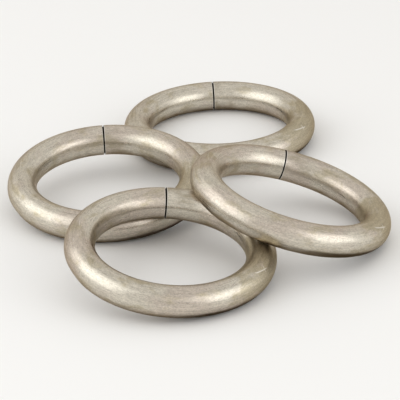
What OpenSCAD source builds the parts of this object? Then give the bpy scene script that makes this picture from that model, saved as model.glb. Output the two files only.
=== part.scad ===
// Four tubular wreath rings in a leaning pile. Each ring is a round tube bent into a
// hoop, its two ends butted over a curved joiner sleeve that sits inside them.
// Millimetres, +Z up. The origin is on the floor, under the middle of the back ring.

/* [Ring] */
// Overall outside diameter of a ring
ring_d = 200; // [150:5:400]
// Outside diameter of the tube before it is bent
tube_d = 30; // [24:0.5:38]
// Wall thickness of the tube
tube_wall = 1.5; // [0.8:0.1:3]
// How much the bend flattens the tube across the ring, in millimetres
bend_flattening = 1.5; // [0:0.1:2.5]

/* [Butt joint] */
// Gap between the two ends of the tube
seam_gap = 1.1; // [0.4:0.1:2]
// Where the seam lies around each ring, in degrees from +X
seam_angle = 99; // [0:1:359]
// Length of the joiner sleeve, along the middle of the tube
joiner_length = 40; // [20:1:80]
// Wall thickness of the joiner sleeve
joiner_wall = 1.2; // [0.8:0.1:2.5]
// Clearance between the joiner sleeve and the bore of the tube
joiner_clearance = 0.15; // [0.05:0.05:0.4]

/* [Pile] */
// Left ring: how far its middle lies along +X from the back ring's, in ring diameters
left_ring_x = -0.49; // [-0.55:0.01:-0.43]
// Left ring: how far its middle lies along +Y from the back ring's, in ring diameters
left_ring_y = -0.84; // [-0.9:0.01:-0.78]
// Left ring: way that its face looks, in degrees from +X
left_ring_facing = 273; // [240:1:300]
// Front ring: how far its middle lies along +X from the back ring's, in ring diameters
front_ring_x = -0.1; // [-0.15:0.01:-0.05]
// Front ring: how far its middle lies along +Y from the back ring's, in ring diameters
front_ring_y = -1.68; // [-1.75:0.01:-1.6]
// Front ring: way that its face looks, in degrees from +X
front_ring_facing = 317; // [290:1:340]
// Right ring: how far its middle lies along +X from the back ring's, in ring diameters
right_ring_x = 0.44; // [0.38:0.01:0.5]
// Right ring: how far its middle lies along +Y from the back ring's, in ring diameters
right_ring_y = -1.22; // [-1.3:0.01:-1.15]
// Right ring: way that its face looks, in degrees from +X
right_ring_facing = 9; // [0:1:40]
// Gap left where a ring rests on another
rest_gap = 0.3; // [0.1:0.05:0.5]

/* [Hidden] */
$fn = 96;
steel = [0.62, 0.61, 0.58];
sleeve_steel = [0.45, 0.44, 0.42];

// The bend makes the section a little narrower across the ring and taller along its axis.
half_w = (tube_d - bend_flattening / 2) / 2;
half_h = (tube_d + bend_flattening / 2) / 2;
bend_r = ring_d / 2 - half_w;
arc = 180 / (PI * bend_r);
seam_arc = seam_gap * arc;
joiner_arc = joiner_length * arc;
joiner_inset = tube_wall + joiner_clearance;
// Degrees between the points at which the gap between two rings is measured
gap_step = 2;

// A ring's place: its middle, the way that its face looks, its tilt and its turn.
function facing(tilt, turn) = [sin(tilt) * cos(turn), sin(tilt) * sin(turn), cos(tilt)];
function lift(tilt) =
    bend_r * sin(tilt) + sqrt(pow(half_w * sin(tilt), 2) + pow(half_h * cos(tilt), 2));
function placed(at, tilt, turn) =
    [[at[0] * ring_d, at[1] * ring_d, lift(tilt)], facing(tilt, turn), tilt, turn];

// Half the section's thickness along a unit vector, for a ring that faces along n.
function reach(way, n) =
    sqrt(pow(half_w, 2) * (1 - pow(way * n, 2)) + pow(half_h, 2) * pow(way * n, 2));

// The middle line of a ring, as points around it.
function middle_line(ring) =
    let (across = [-sin(ring[3]), cos(ring[3]), 0], up = cross(ring[1], across))
    [for (a = [0 : gap_step : 360 - gap_step]) ring[0] + bend_r * (cos(a) * across + sin(a) * up)];

// The free gap from a point on the upper ring's middle line to the lower ring's tube.
function gap_at(p, upper, lower) =
    let (
        out = p - lower[0],
        flat = out - (out * lower[1]) * lower[1],
        foot = lower[0] + bend_r * flat / norm(flat),
        apart = norm(p - foot),
        way = (p - foot) / apart
    )
    apart - reach(way, upper[1]) - reach(way, lower[1]);

function least_gap(upper, lowers) =
    min([for (lower = lowers) for (p = middle_line(upper)) gap_at(p, upper, lower)]);

// The tilt at which a ring with one edge on the floor just clears the rings under it,
// found by halving the interval.
function lean(at, turn, lowers, low = 0, high = 40, turns = 16) =
    turns == 0 ? high :
    let (mid = (low + high) / 2)
    least_gap(placed(at, mid, turn), lowers) < rest_gap
        ? lean(at, turn, lowers, mid, high, turns - 1)
        : lean(at, turn, lowers, low, mid, turns - 1);

left_at = [left_ring_x, left_ring_y];
front_at = [front_ring_x, front_ring_y];
right_at = [right_ring_x, right_ring_y];
back = placed([0, 0], 0, 0);
left = placed(left_at, lean(left_at, left_ring_facing, [back]), left_ring_facing);
front = placed(front_at, lean(front_at, front_ring_facing, [back, left]), front_ring_facing);
right = placed(right_at, lean(right_at, right_ring_facing, [back, left, front]), right_ring_facing);

module on_pile(ring) {
    translate(ring[0])
        rotate(a = ring[2], v = [-sin(ring[3]), cos(ring[3]), 0])
            children();
}

// The tube's section, inset from its outside.
module section(inset) {
    scale([(half_w - inset) / (half_h - inset), 1])
        circle(r = half_h - inset);
}

// A bent tube that follows the ring's middle line, with its outside inset from the ring's.
module bent_tube(inset, wall, start, sweep) {
    rotate([0, 0, start])
        rotate_extrude(angle = sweep)
            translate([bend_r, 0])
                difference() {
                    section(inset);
                    section(inset + wall);
                }
}

module ring_tube() {
    bent_tube(0, tube_wall, seam_angle + seam_arc / 2, 360 - seam_arc);
}

module ring_joiner() {
    bent_tube(joiner_inset, joiner_wall, seam_angle - joiner_arc / 2, joiner_arc);
}

module back_ring_tube() { color(steel) on_pile(back) ring_tube(); }
module back_ring_joiner() { color(sleeve_steel) on_pile(back) ring_joiner(); }
module left_ring_tube() { color(steel) on_pile(left) ring_tube(); }
module left_ring_joiner() { color(sleeve_steel) on_pile(left) ring_joiner(); }
module front_ring_tube() { color(steel) on_pile(front) ring_tube(); }
module front_ring_joiner() { color(sleeve_steel) on_pile(front) ring_joiner(); }
module right_ring_tube() { color(steel) on_pile(right) ring_tube(); }
module right_ring_joiner() { color(sleeve_steel) on_pile(right) ring_joiner(); }

back_ring_tube();
back_ring_joiner();
left_ring_tube();
left_ring_joiner();
front_ring_tube();
front_ring_joiner();
right_ring_tube();
right_ring_joiner();
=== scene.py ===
import math
import bpy
import numpy as np
from mathutils import Matrix, Vector


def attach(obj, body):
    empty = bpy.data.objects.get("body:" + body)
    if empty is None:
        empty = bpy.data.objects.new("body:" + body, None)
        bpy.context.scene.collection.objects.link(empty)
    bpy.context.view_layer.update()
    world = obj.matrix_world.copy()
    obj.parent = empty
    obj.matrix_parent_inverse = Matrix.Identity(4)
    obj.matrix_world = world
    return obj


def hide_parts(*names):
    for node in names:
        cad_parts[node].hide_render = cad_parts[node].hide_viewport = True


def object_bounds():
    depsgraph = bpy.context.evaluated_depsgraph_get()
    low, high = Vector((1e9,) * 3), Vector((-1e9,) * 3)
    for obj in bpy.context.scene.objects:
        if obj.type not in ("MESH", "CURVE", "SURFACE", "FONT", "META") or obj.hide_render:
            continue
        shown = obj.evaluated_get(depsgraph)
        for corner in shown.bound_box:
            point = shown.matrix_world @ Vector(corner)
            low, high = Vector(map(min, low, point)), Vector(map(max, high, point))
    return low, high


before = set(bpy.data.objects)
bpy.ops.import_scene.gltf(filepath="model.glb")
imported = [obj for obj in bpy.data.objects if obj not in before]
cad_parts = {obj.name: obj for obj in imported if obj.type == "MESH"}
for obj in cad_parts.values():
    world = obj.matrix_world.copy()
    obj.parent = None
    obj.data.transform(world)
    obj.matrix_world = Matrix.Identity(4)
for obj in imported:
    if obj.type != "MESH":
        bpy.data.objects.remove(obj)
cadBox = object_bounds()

print("frame loaded:", len(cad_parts), "nodes")


def nodePoints(name):
    # the different corner points of a CAD node, in metres, told apart at a tenth of a micron
    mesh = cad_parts[name].data
    points = np.empty(len(mesh.vertices) * 3)
    mesh.vertices.foreach_get("co", points)
    return np.unique(np.round(points.reshape(-1, 3), 7), axis=0)


def nodeFacing(name):
    # the ring's axis: the direction in which its surface spreads least, weighed by area
    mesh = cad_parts[name].data
    mesh.calc_loop_triangles()
    corners = np.empty(len(mesh.loop_triangles) * 3, dtype=np.int32)
    mesh.loop_triangles.foreach_get("vertices", corners)
    points = np.empty(len(mesh.vertices) * 3)
    mesh.vertices.foreach_get("co", points)
    a, b, c = np.moveaxis(points.reshape(-1, 3)[corners.reshape(-1, 3)], 1, 0)
    area = np.linalg.norm(np.cross(b - a, c - a), axis=1)
    middle = (a + b + c) / 3
    centre = np.average(middle, axis=0, weights=area)
    spread = (middle - centre).T @ ((middle - centre) * area[:, None])
    axis = np.linalg.eigh(spread)[1][:, 0]
    return centre, axis * np.sign(axis[2])


def ringFrom(name):
    # centre, axis, direction of the seam, and the section's sizes, all from the CAD ring
    centre, axis = nodeFacing(name + "_ring_tube")
    points = nodePoints(name + "_ring_tube")
    seam = nodePoints(name + "_ring_joiner").mean(axis=0) - centre
    seam -= axis * (seam @ axis)
    seam /= np.linalg.norm(seam)
    side = np.cross(axis, seam)
    for way in (seam, side):
        reach = (points - centre) @ way
        centre = centre + way * (reach.max() + reach.min()) / 2
    across, along, height = ((points - centre) @ way for way in (seam, side, axis))
    radius = np.hypot(across, along)
    angle = np.abs(np.arctan2(along, across))
    return {
        "centre": centre,
        "axis": axis,
        "seam": seam,
        "side": side,
        "bendRadius": (radius.max() + radius.min()) / 2,
        "halfWide": (radius.max() - radius.min()) / 2,
        "halfTall": np.abs(height).max(),
        "halfGap": angle.min(),
    }


# the bent tube, in metres
tubeValues = {
    "wall": 0.0015,
    "chamfer": 0.0003,       # deburred edge of each end
    "chamferSteps": 4,
    "alongSteps": 540,
    "boreSteps": 72,
    "aroundSteps": 84,
    "ripple": 0.00022,       # how deep the bender left the surface uneven
    "rippleTurns": (2, 3, 5, 8, 13, 21),     # waves round the ring
    "rippleLobes": (0, 1, 2),                # waves round the section
    "firstSeed": 11,
    "kinkDepth": 0.0007,     # a slight flat in the ring's outline
    "kinkAt": math.radians(110),             # from the seam, anticlockwise
    "kinkWide": math.radians(9),
    "sharpAngle": math.radians(40),          # edges sharper than this stay crisp
}


def tubeRows(ring, values):
    # rows along one closed profile: outside, rounded end, end face, bore and back again;
    # each row is a distance along the middle line and an inset from the outside
    length = (2 * math.pi - 2 * ring["halfGap"]) * ring["bendRadius"]
    edge = values["chamfer"]
    turn = np.linspace(0, math.pi / 2, values["chamferSteps"] + 1)
    outside = np.linspace(edge, length - edge, values["alongSteps"])
    bore = np.linspace(length, 0, values["boreSteps"])
    roundAlong = edge * (1 - np.sin(turn))[1:]
    roundInset = edge * (1 - np.cos(turn))[1:]
    along = np.concatenate([outside, length - roundAlong, bore, roundAlong[::-1]])
    inset = np.concatenate([
        np.zeros_like(outside), roundInset, np.full_like(bore, values["wall"]), roundInset[::-1],
    ])
    return along, inset, length


def unevenness(ring, values, angle, around, seed):
    # depth = ripple * (1 + mean of slow waves round the ring and the section) / 2, plus one smooth
    # flat: kinkDepth * exp(-((angle - kinkAt) / kinkWide)^2) * outward share
    random = np.random.default_rng(seed)
    wave = np.zeros((len(angle), len(around)))
    total = 0
    for turns in values["rippleTurns"]:
        for lobes in values["rippleLobes"]:
            size = 1 / (turns * (1 + lobes))
            phase = random.uniform(0, 2 * math.pi, 2)
            wave += size * np.sin(turns * angle[:, None] + phase[0]) * np.cos(lobes * around + phase[1])
            total += size
    depth = values["ripple"] * (1 + wave / total) / 2
    flat = np.exp(-((angle - values["kinkAt"]) / values["kinkWide"]) ** 2)
    return depth + values["kinkDepth"] * flat[:, None] * np.clip(np.cos(around), 0, 1)


def makeRingTube(name, ring, values, seed):
    # point = centre + (bendRadius + wide * cos(around)) * outward(angle) + tall * sin(around) * axis
    along, inset, length = tubeRows(ring, values)
    angle = ring["halfGap"] + along / ring["bendRadius"]
    around = np.linspace(0, 2 * math.pi, values["aroundSteps"], endpoint=False)
    deep = inset[:, None] + unevenness(ring, values, angle, around, seed)
    wide = (ring["halfWide"] - deep) * np.cos(around)
    tall = (ring["halfTall"] - deep) * np.sin(around)
    outward = np.cos(angle)[:, None] * ring["seam"] + np.sin(angle)[:, None] * ring["side"]
    points = (
        ring["centre"]
        + (ring["bendRadius"] + wide)[..., None] * outward[:, None, :]
        + tall[..., None] * ring["axis"]
    )
    rows, columns = wide.shape
    index = np.arange(rows * columns).reshape(rows, columns)
    nextRow = np.roll(index, -1, axis=0)
    nextBoth = np.roll(nextRow, -1, axis=1)
    quads = np.stack([index, nextRow, nextBoth, np.roll(index, -1, axis=1)], axis=-1)
    mesh = bpy.data.meshes.new(name)
    mesh.from_pydata(points.reshape(-1, 3), [], quads.reshape(-1, 4))
    mesh.update()

    # the tube laid out straight, for the drawn grain: across, up and along
    straight = np.stack([wide, tall, np.broadcast_to(along[:, None], wide.shape)], axis=-1)
    layout = mesh.attributes.new("straightTube", "FLOAT_VECTOR", "POINT")
    layout.data.foreach_set("vector", straight.astype(np.float32).ravel())
    uvAlong = along / length
    uvNext = np.roll(uvAlong, -1)
    uvAround = np.arange(columns) / columns
    corner = np.empty((rows, columns, 4, 2), dtype=np.float32)
    corner[..., 0, 0] = corner[..., 3, 0] = uvAlong[:, None]
    corner[..., 1, 0] = corner[..., 2, 0] = uvNext[:, None]
    corner[..., 0, 1] = corner[..., 1, 1] = uvAround
    corner[..., 2, 1] = corner[..., 3, 1] = uvAround + 1 / columns
    mesh.uv_layers.new(name="tubeMap").data.foreach_set("uv", corner.ravel())

    mesh.shade_smooth()
    mesh.set_sharp_from_angle(angle=values["sharpAngle"])
    piece = bpy.data.objects.new(name, mesh)
    bpy.context.scene.collection.objects.link(piece)
    return piece, length


class Nodes:
    # short ways to add and join shader nodes

    def __init__(self, name):
        self.material = bpy.data.materials.new(name)
        self.material.use_nodes = True
        self.tree = self.material.node_tree
        self.shader = self.tree.nodes["Principled BSDF"]

    def join(self, value, socket):
        if isinstance(value, bpy.types.NodeSocket):
            self.tree.links.new(value, socket)
        else:
            socket.default_value = value

    def math(self, operation, a, b=0.0, c=0.0):
        node = self.tree.nodes.new("ShaderNodeMath")
        node.operation = operation
        for value, socket in zip((a, b, c), node.inputs):
            self.join(value, socket)
        return node.outputs[0]

    def attribute(self, name):
        node = self.tree.nodes.new("ShaderNodeAttribute")
        node.attribute_name = name
        return node.outputs["Vector"]

    def split(self, vector):
        node = self.tree.nodes.new("ShaderNodeSeparateXYZ")
        self.join(vector, node.inputs[0])
        return node.outputs

    def placed(self, vector, move=(0, 0, 0), scale=(1, 1, 1), turn=0.0):
        # scaled first, then turned about Z, then moved
        node = self.tree.nodes.new("ShaderNodeMapping")
        self.join(vector, node.inputs["Vector"])
        node.inputs["Location"].default_value = move
        node.inputs["Rotation"].default_value = (0, 0, turn)
        node.inputs["Scale"].default_value = scale
        return node.outputs[0]

    def noise(self, vector, scale, detail, rough, distortion=0.0):
        node = self.tree.nodes.new("ShaderNodeTexNoise")
        self.join(vector, node.inputs["Vector"])
        node.inputs["Scale"].default_value = scale
        node.inputs["Detail"].default_value = detail
        node.inputs["Roughness"].default_value = rough
        node.inputs["Distortion"].default_value = distortion
        return node.outputs["Fac"]

    def between(self, value, low, high, outLow=0.0, outHigh=1.0):
        # a smooth step from outLow at low to outHigh at high, whichever of low and high is larger
        node = self.tree.nodes.new("ShaderNodeMapRange")
        node.interpolation_type = "SMOOTHSTEP"
        for item, socket in zip((value, low, high, outLow, outHigh), node.inputs):
            self.join(item, socket)
        return node.outputs[0]

    def mix(self, amount, a, b, blend="MIX"):
        node = self.tree.nodes.new("ShaderNodeMix")
        node.data_type = "RGBA"
        node.blend_type = blend
        self.join(amount, node.inputs["Factor"])
        colourA, colourB = [s for s in node.inputs if s.type == "RGBA"]
        self.join(a if not isinstance(a, tuple) else (*a, 1), colourA)
        self.join(b if not isinstance(b, tuple) else (*b, 1), colourB)
        return [s for s in node.outputs if s.type == "RGBA"][0]

    def bump(self, height, distance, strength=1.0, normal=None):
        node = self.tree.nodes.new("ShaderNodeBump")
        node.inputs["Strength"].default_value = strength
        node.inputs["Distance"].default_value = distance
        self.join(height, node.inputs["Height"])
        if normal is not None:
            self.join(normal, node.inputs["Normal"])
        return node.outputs[0]


# the tube's finish: colours, then patterns, then wear, painted shade and roughness
steelValues = {
    "silver": (0.605, 0.56, 0.475),
    "pink": (0.555, 0.485, 0.415),
    "olive": (0.46, 0.403, 0.285),
    "smudge": (0.36, 0.315, 0.245),
    "undersideShade": (0.25, 0.19, 0.125),    # painted shade: the underside darkened brown
    "rimShade": (0.060, 0.043, 0.028),    # painted shade: a dark line along the lower rim, on one side only
    "bareAndGlint": (0.95, 0.93, 0.88),      # fresh metal in scratches, and beside the cut fresh metal with a painted highlight of its edges
    "seamShade": (0.025, 0.020, 0.016),   # painted shade of the seam gap, on the cut faces
    "edgeTint": (0.55, 0.48, 0.40),
    "shift": 0.37,                   # how far the pattern moves on from one ring to the next
    # patterns on the straightened tube: squeeze along it, scale, detail, roughness, distortion
    "patterns": {
        "grain": (0.02, 1400, 4, 0.6, 0.0),
        "streak": (0.06, 420, 4, 0.6, 0.0),
        "patch": (0.5, 75, 6, 0.62, 0.3),
        "cloud": (0.6, 26, 4, 0.55, 0.0),
        "speck": (0.4, 520, 3, 0.6, 0.0),
        "fleck": (0.7, 900, 2, 0.5, 0.0),
    },
    "cloudAside": 0.3,               # keeps the clouds from lying on the patches, which are alike
    # what each pattern takes from the brightness of the metal and adds to it
    "mottle": {
        "speck": (-0.09, 0.07),
        "streak": (-0.07, 0.07),
        "fleck": (-0.11, 0.11),
        "grain": (-0.05, 0.05),
    },
    "mottleSpan": (0.32, 0.68),      # the part of a pattern's range that the mottling uses
    "patchSpan": (0.35, 0.65),       # the same for the patches in the painted underside shade, the painted rim shade and the roughness
    "pinkFrom": (0.46, 0.62, 0.85),  # pattern values where a tint starts and is full, and its most
    "oliveFrom": (0.50, 0.68, 0.80),
    # the olive patch: place along the tube and reach, both in its length, and the part that is full
    "darkPatch": (0.70, 0.11, 0.25),
    "darkPatchOlive": 0.22,
    "darkPatchRough": 0.06,
    "smudgeReach": 0.045,            # the dark smudge ends this far from the seam
    "smudgeFrom": (0.40, 0.62),
    "smudgeSpecks": (0.56, 0.70),
    "smudgeStrength": 0.5,
    "undersideShadeHeights": (0.05, -1.0),     # where the painted underside shade starts and is full, in half heights of the tube
    "undersideShadeUneven": 0.15,
    "undersideShadeFrom": (0.1, 1.1, 0.85),
    "darkRim": (0.62, 0.17, 1 / 3),  # where the painted rim shade lies, as for the olive patch
    "rimHeights": (-0.16, -0.58),
    "rimUneven": 0.12,
    "rimFrom": (0.15, 0.95, 0.90),
    "hairs": ((24, 900), (-61, 700)),        # direction in degrees, and scale
    "hairStretch": 0.05,
    "hairFrom": (0.70, 0.76),
    "hairClouds": (0.45, 0.60),      # hairlines show only in the denser clouds
    "hairStrength": 0.35,
    "scratchStrength": 0.65,
    "scratchTaper": 0.6,             # the part of a scratch's length that is full
    # single scratches: place along the tube, place round it, degrees, half length, width
    "scratches": (
        (0.664, 0.150, -14, 0.0100, 0.0010),
        (0.672, 0.142, 68, 0.0038, 0.0006),
        (0.654, 0.168, -20, 0.0050, 0.0005),
        (0.205, 0.215, 12, 0.0120, 0.0003),
        (0.432, 0.300, 165, 0.0070, 0.0004),
        (0.870, 0.250, 74, 0.0060, 0.0003),
    ),
    "rubGlintReach": 0.0013,              # how far the bright rub, partly a painted highlight, and the painted shade of the seam gap come from the cut
    "seamShadeReach": 0.0006,
    "rubGlintStrength": (0.35, 0.60),     # on the two sides of the seam
    "roughLow": 0.25,
    "roughHigh": 0.40,
    "peel": (55, 3, 0.5),            # slow waves in the skin: scale, detail, roughness
    "peelDepth": 0.00008,
    "peelStrength": 0.5,
    "grainDepth": 0.00003,
    "grainStrength": 0.7,
}


def scratchMask(n, along, around, values, ring, length):
    # one scratch shows where the distance across it and the distance along it are both small
    girth = math.pi * (ring["halfWide"] + ring["halfTall"])
    total = 0.0
    for placeAlong, placeAround, degrees, reach, wide in values["scratches"]:
        turn = math.radians(degrees)
        x = n.math("MULTIPLY_ADD", along, length, -placeAlong * length)
        y = n.math("MULTIPLY_ADD", around, girth, -placeAround * girth)
        run = n.math("ADD", n.math("MULTIPLY", x, math.cos(turn)), n.math("MULTIPLY", y, math.sin(turn)))
        off = n.math("SUBTRACT", n.math("MULTIPLY", y, math.cos(turn)), n.math("MULTIPLY", x, math.sin(turn)))
        thin = n.between(n.math("ABSOLUTE", off), wide, 0.0)
        short = n.between(n.math("ABSOLUTE", run), reach, reach * values["scratchTaper"])
        total = n.math("MAXIMUM", total, n.math("MULTIPLY", thin, short))
    return total


def hairMask(n, skin, values, ring, length):
    # hairline wear: noise squeezed into threads, once for each direction
    laidOut = n.placed(skin, scale=(length, 2 * math.pi * ring["halfTall"], 1))
    total = 0.0
    for degrees, scale in values["hairs"]:
        lay = n.placed(laidOut, scale=(values["hairStretch"], 1, 1), turn=math.radians(degrees))
        hair = n.between(n.noise(lay, scale, 2, 0.5), *values["hairFrom"])
        total = n.math("MAXIMUM", total, hair)
    return total


def nearness(n, skinAlong, place, reach, full):
    # 1 around a place along the tube, fading to 0 at the reach; full is the part of it that stays 1
    away = n.math("ABSOLUTE", n.math("SUBTRACT", skinAlong, place))
    return n.between(away, reach, reach * full)


def drawnSteel(name, values, shift, ring, length):
    # satin raw steel: lengthwise drawing lines, handled patches, a dark smudge beside the seam; painted shade
    # under the tube, along one rim and at the cut, and a painted highlight beside the cut
    n = Nodes(name)
    tube = n.attribute("straightTube")
    up, along = n.split(tube)[1:]
    skin = n.attribute("tubeMap")
    skinAlong, skinAround = n.split(skin)[:2]
    moved = n.placed(tube, move=(shift, 0, 0))
    pattern = {}
    for layer, (squeeze, *noiseValues) in values["patterns"].items():
        aside = values["cloudAside"] if layer == "cloud" else 0
        spread = n.placed(moved, scale=(1, 1, squeeze), move=(aside, 0, 0))
        pattern[layer] = n.noise(spread, *noiseValues)
    patch, cloud, speck = pattern["patch"], pattern["cloud"], pattern["speck"]

    # three tints of the bare skin, with more of the olive in one place, then fine mottling
    stained = nearness(n, skinAlong, *values["darkPatch"])
    start, full, most = values["pinkFrom"]
    colour = n.mix(n.between(cloud, start, full, 0, most), values["silver"], values["pink"])
    start, full, most = values["oliveFrom"]
    oliveAmount = n.math("ADD", patch, n.math("MULTIPLY", stained, values["darkPatchOlive"]))
    oliveAmount = n.between(oliveAmount, start, full, 0, most)
    colour = n.mix(oliveAmount, colour, values["olive"])
    mottle = 1.0
    for layer, change in values["mottle"].items():
        mottle = n.math("ADD", mottle, n.between(pattern[layer], *values["mottleSpan"], *change))
    colour = n.mix(1.0, colour, mottle, "MULTIPLY")

    # the smudge lies on one side of the seam, and specks of it gather in the darker patches
    seamSide = n.between(along, length - values["smudgeReach"], length - values["smudgeReach"] / 4)
    smudge = n.math("MULTIPLY", n.between(patch, *values["smudgeFrom"]), seamSide)
    specks = n.math("MULTIPLY", n.between(speck, *values["smudgeSpecks"]), oliveAmount)
    smudge = n.math("MAXIMUM", smudge, specks)
    colour = n.mix(n.math("MULTIPLY", smudge, values["smudgeStrength"]), colour, values["smudge"])

    # painted shade: the underside darkened brown, strongest along the lowest line of the tube
    low = n.math("DIVIDE", up, ring["halfTall"])
    uneven = n.between(patch, *values["patchSpan"], -values["undersideShadeUneven"], values["undersideShadeUneven"])
    undersideShadeAmount = n.math("ADD", n.between(low, *values["undersideShadeHeights"]), uneven)
    start, full, most = values["undersideShadeFrom"]
    colour = n.mix(n.between(undersideShadeAmount, start, full, 0, most), colour, values["undersideShade"])

    # painted shade: a dark line under the rim, which fades out towards both of its ends
    uneven = n.between(patch, *values["patchSpan"], -values["rimUneven"], values["rimUneven"])
    rimShade = n.math("ADD", n.between(low, *values["rimHeights"]), uneven)
    start, full, most = values["rimFrom"]
    rimShade = n.between(rimShade, start, full, 0, most)
    rimShade = n.math("MULTIPLY", rimShade, nearness(n, skinAlong, *values["darkRim"]))
    colour = n.mix(rimShade, colour, values["rimShade"])

    # bare metal in the hairlines and the scratches, and a rub along each side of the cut that is bare metal
    # and a painted highlight of the cut edges
    hairs = hairMask(n, skin, values, ring, length)
    hairs = n.math("MULTIPLY", hairs, n.between(cloud, *values["hairClouds"]))
    hairs = n.math("MULTIPLY", hairs, values["hairStrength"])
    scratch = scratchMask(n, skinAlong, skinAround, values, ring, length)
    bareAndGlint = n.math("MAXIMUM", hairs, n.math("MULTIPLY", scratch, values["scratchStrength"]))
    toEnd = n.math("SUBTRACT", length, along)
    for fromCut, strength in zip((along, toEnd), values["rubGlintStrength"]):
        rubGlint = n.between(fromCut, values["rubGlintReach"], values["rubGlintReach"] / 2, 0, strength)
        bareAndGlint = n.math("MAXIMUM", bareAndGlint, rubGlint)
    colour = n.mix(bareAndGlint, colour, values["bareAndGlint"])
    # painted shade of the seam gap: the cut faces and the skin just beside them go near black
    seamShade = n.between(n.math("MINIMUM", along, toEnd), values["seamShadeReach"], values["seamShadeReach"] / 2)
    colour = n.mix(seamShade, colour, values["seamShade"])

    # roughness follows the patches and the streaks; the skin is slightly wavy under its fine grain
    grain, streak = pattern["grain"], pattern["streak"]
    rough = n.math("ADD", n.math("MULTIPLY", patch, 0.5), n.math("MULTIPLY", streak, 0.5))
    rough = n.between(rough, *values["patchSpan"], values["roughLow"], values["roughHigh"])
    rough = n.math("ADD", rough, n.math("MULTIPLY", stained, values["darkPatchRough"]))
    height = n.bump(n.noise(moved, *values["peel"]), values["peelDepth"], values["peelStrength"])
    lines = n.math("ADD", grain, n.math("MULTIPLY", streak, 2.0))
    height = n.bump(lines, values["grainDepth"], values["grainStrength"], height)
    n.join(colour, n.shader.inputs["Base Color"])
    n.join(rough, n.shader.inputs["Roughness"])
    n.join(height, n.shader.inputs["Normal"])
    n.shader.inputs["Metallic"].default_value = 1.0
    n.shader.inputs["Specular Tint"].default_value = (*values["edgeTint"], 1)
    return n.material


# the joiner sleeve's finish, near black as painted shade in the seam gap
sleeveValues = {
    "dark": (0.012, 0.010, 0.008),
    "light": (0.045, 0.038, 0.030),
    "stain": (300, 4, 0.6),          # scale, detail and roughness of the oil stains
    "rough": (0.5, 0.75),
    "stainDepth": 0.0001,
    "stainStrength": 0.6,
}


def sleeveSteelAndSeamShade(name, values):
    # the dull, oily sleeve inside the seam, painted near black as the shade in the gap
    n = Nodes(name)
    place = n.tree.nodes.new("ShaderNodeTexCoord").outputs["Object"]
    stain = n.noise(place, *values["stain"])
    colour = n.mix(n.between(stain, 0.35, 0.65), values["dark"], values["light"])
    n.join(colour, n.shader.inputs["Base Color"])
    n.join(n.between(stain, 0.3, 0.7, *values["rough"]), n.shader.inputs["Roughness"])
    n.join(n.bump(stain, values["stainDepth"], values["stainStrength"]), n.shader.inputs["Normal"])
    n.shader.inputs["Metallic"].default_value = 1.0
    return n.material


ringNames = ("back", "left", "front", "right")
sleeve = sleeveSteelAndSeamShade("sleeve_steel_and_seam_shade", sleeveValues)
for count, ringName in enumerate(ringNames):
    ring = ringFrom(ringName)
    seed = tubeValues["firstSeed"] + count
    piece, tubeLength = makeRingTube(ringName + "_ring_bent_tube", ring, tubeValues, seed)
    shift = steelValues["shift"] * count
    piece.data.materials.append(drawnSteel(ringName + "_ring_steel", steelValues, shift, ring, tubeLength))
    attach(piece, ringName + "_ring")
    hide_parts(ringName + "_ring_tube")
    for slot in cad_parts[ringName + "_ring_joiner"].material_slots:
        slot.material = sleeve
    print(ringName, "ring: bend radius", round(ring["bendRadius"] * 1000, 3), "mm, section",
          round(ring["halfWide"] * 2000, 2), "by", round(ring["halfTall"] * 2000, 2), "mm")


# floor, surroundings and softboxes
stageValues = {
    "floorSize": 14,
    "floorColour": (0.88, 0.875, 0.865),
    "floorRoughness": 0.85,
    "worldColour": (1.0, 0.985, 0.96),
    "worldStrength": 0.85,
    "softboxColour": (0.96, 0.985, 1.0),
    # three panels, each smaller than the one behind it, make a softbox that fades towards its edge
    "panelShares": (1.0, 0.8, 0.6),
    "panelStep": 0.02,
}

floorMesh = bpy.data.meshes.new("studio_floor")
half = stageValues["floorSize"] / 2
corners = [(-half, -half, 0), (half, -half, 0), (half, half, 0), (-half, half, 0)]
floorMesh.from_pydata(corners, [], [(0, 1, 2, 3)])
floor = bpy.data.objects.new("studio_floor", floorMesh)
bpy.context.scene.collection.objects.link(floor)
floorLook = Nodes("studio_floor")
floorLook.shader.inputs["Base Color"].default_value = (*stageValues["floorColour"], 1)
floorLook.shader.inputs["Roughness"].default_value = stageValues["floorRoughness"]
floor.data.materials.append(floorLook.material)

bpy.context.scene.view_settings.view_transform = "Standard"
world = bpy.data.worlds.new("studio")
world.use_nodes = True
background = world.node_tree.nodes["Background"]
background.inputs["Color"].default_value = (*stageValues["worldColour"], 1)
background.inputs["Strength"].default_value = stageValues["worldStrength"]
bpy.context.scene.world = world

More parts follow.
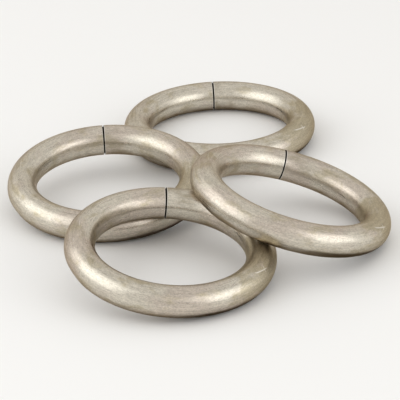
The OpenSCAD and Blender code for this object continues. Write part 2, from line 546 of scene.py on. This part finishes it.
# metres, and millimetres for the lens and sensor
cameraValues = {
    "azimuth": math.radians(5.5),
    "elevation": math.radians(24.2),
    "roll": math.radians(2.0),
    "distance": 2.716,
    "targetHeight": 0.006,
    "lens": 246,
    "sensorWidth": 36,
    "clipEnd": 100,
}

middle = Vector([(low + high) / 2 for low, high in zip(*cadBox)])
target = Vector((middle.x, middle.y, cameraValues["targetHeight"]))
camera = bpy.data.cameras.new("studio_camera")
camera.lens = cameraValues["lens"]
camera.sensor_width = cameraValues["sensorWidth"]
camera.clip_end = cameraValues["clipEnd"]
viewer = bpy.data.objects.new("studio_camera", camera)
turn, rise = cameraValues["azimuth"], cameraValues["elevation"]
back = Vector((math.sin(turn) * math.cos(rise), -math.cos(turn) * math.cos(rise), math.sin(rise)))
viewer.matrix_world = (
    Matrix.Translation(target + back * cameraValues["distance"])
    @ back.to_track_quat("Z", "Y").to_matrix().to_4x4()
    @ Matrix.Rotation(-cameraValues["roll"], 4, "Z")
)
bpy.context.scene.collection.objects.link(viewer)
bpy.context.scene.camera = viewer

softboxes = {
    "left_softbox": {"way": (-0.84, -0.19, 0.52), "distance": 2.5, "size": (3.8, 2.6), "power": 24},
    "right_softbox": {"way": (0.84, -0.42, 0.36), "distance": 2.5, "size": (2.8, 2.2), "power": 15.5},
}


def addPanel(name, values, share, forward):
    # share is the panel's part of the softbox's width and height, and power goes with its area
    fullArea = sum(part ** 2 for part in stageValues["panelShares"])
    light = bpy.data.lights.new(name, "AREA")
    light.shape = "RECTANGLE"
    light.size, light.size_y = (side * share for side in values["size"])
    light.energy = values["power"] * share ** 2 / fullArea
    light.color = stageValues["softboxColour"]
    box = bpy.data.objects.new(name, light)
    way = Vector(values["way"]).normalized()
    box.location = target + way * (values["distance"] - forward)
    box.rotation_euler = way.to_track_quat("Z", "Y").to_euler()
    bpy.context.scene.collection.objects.link(box)


for boxName, boxValues in softboxes.items():
    for count, share in enumerate(stageValues["panelShares"]):
        addPanel(boxName + "_" + str(count), boxValues, share, stageValues["panelStep"] * count)

print("floor, lights and camera ready")
